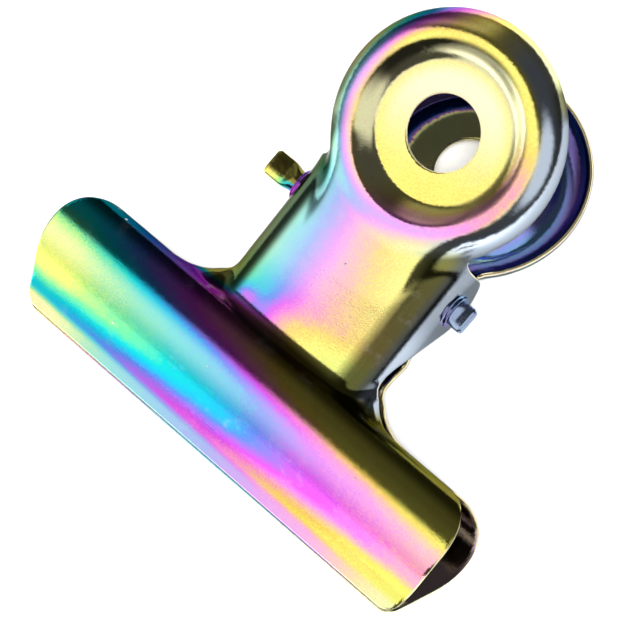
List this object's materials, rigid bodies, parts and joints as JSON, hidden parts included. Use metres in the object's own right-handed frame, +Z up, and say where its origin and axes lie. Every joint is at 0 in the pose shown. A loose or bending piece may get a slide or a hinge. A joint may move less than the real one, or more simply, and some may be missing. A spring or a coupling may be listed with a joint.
{
  "type": "bulldog hinge clip",
  "caption": "Spring clip of two pressed steel plates hinged on a pin, with round finger heads, hanging holes and a wide barrel jaw.",
  "frame": {"origin": "centre of the bounding box on the surface that the clip lies on", "axes": "+X along the hinge pin, +Y from the jaw towards the finger heads, +Z up, with the clip lying on its back plate"},
  "size_m": [0.054, 0.0536, 0.0249],
  "materials": {
    "back_plate": "mirror polish with an iridescent coating",
    "front_plate": "mirror polish with an iridescent coating",
    "hinge_pin": "polished, lightly iridescent",
    "torsion_spring": "drawn wire"
  },
  "bodies": {
    "back": {"back_plate": "back_plate", "torsion_spring": "torsion_spring"},
    "front": {"front_plate": "front_plate"},
    "pin": {"hinge_pin": "hinge_pin"}
  },
  "joints": [
    {"name": "jaw_hinge", "type": "hinge", "parent": "back", "child": "front", "pos_m": [0, 0.00029, 0.00884], "axis": [-1, 0, 0], "range_deg": [0, 36], "stiffness_Nm_per_rad": 0.2, "springref_deg": -60.16, "deforming": ["torsion_spring"]},
    {"name": "pin_spin", "type": "hinge", "parent": "back", "child": "pin", "pos_m": [0, 0.00029, 0.00884], "axis": [1, 0, 0], "continuous": true}
  ]
}
